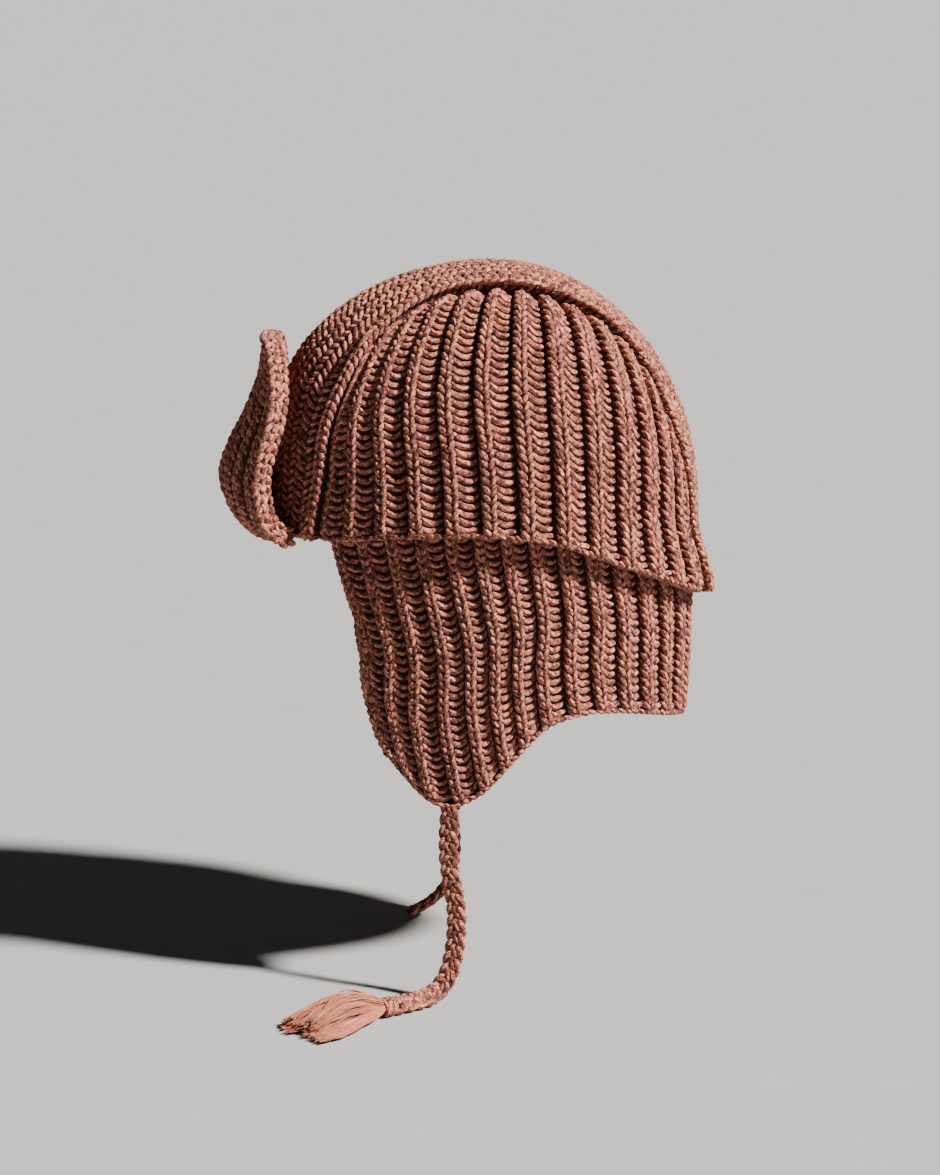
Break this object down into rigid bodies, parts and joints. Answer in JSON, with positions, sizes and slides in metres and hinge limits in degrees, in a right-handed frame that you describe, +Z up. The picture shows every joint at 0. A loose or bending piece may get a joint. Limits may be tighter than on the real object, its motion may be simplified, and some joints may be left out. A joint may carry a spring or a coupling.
{
  "type": "knitted aviator hat",
  "caption": "Ribbed knitted hat with a paneled crown, a turned-up peak, ear flaps joined by a neck band, and two plaited ties, the left one with a tassel.",
  "frame": {"origin": "the seat: the middle of the crown's inner top, where the hat rests on a head", "axes": "+Z up; the peak at the front faces -Y; the wearer's left is +X"},
  "size_m": [0.2316, 0.2555, 0.3707],
  "materials": {
    "crown_wool": "marled dusty terracotta wool, chunky rib knit",
    "panel_wool": "the same wool, close rib knit",
    "band_wool": "the same wool, chunky rib knit",
    "peak_wool": "the same wool, rib knit with a rolled edge",
    "tie_wool": "the same wool, three-strand plait",
    "tassel_wool": "the same wool, loose cut strands"
  },
  "bodies": {
    "root": {"crown_center_panel": "panel_wool", "crown_side_left": "crown_wool", "crown_side_right": "crown_wool", "earflap_band": "band_wool", "visor": "peak_wool", "tie_left": "tie_wool", "tie_right": "tie_wool", "tassel_left": "tassel_wool"}
  },
  "joints": []
}
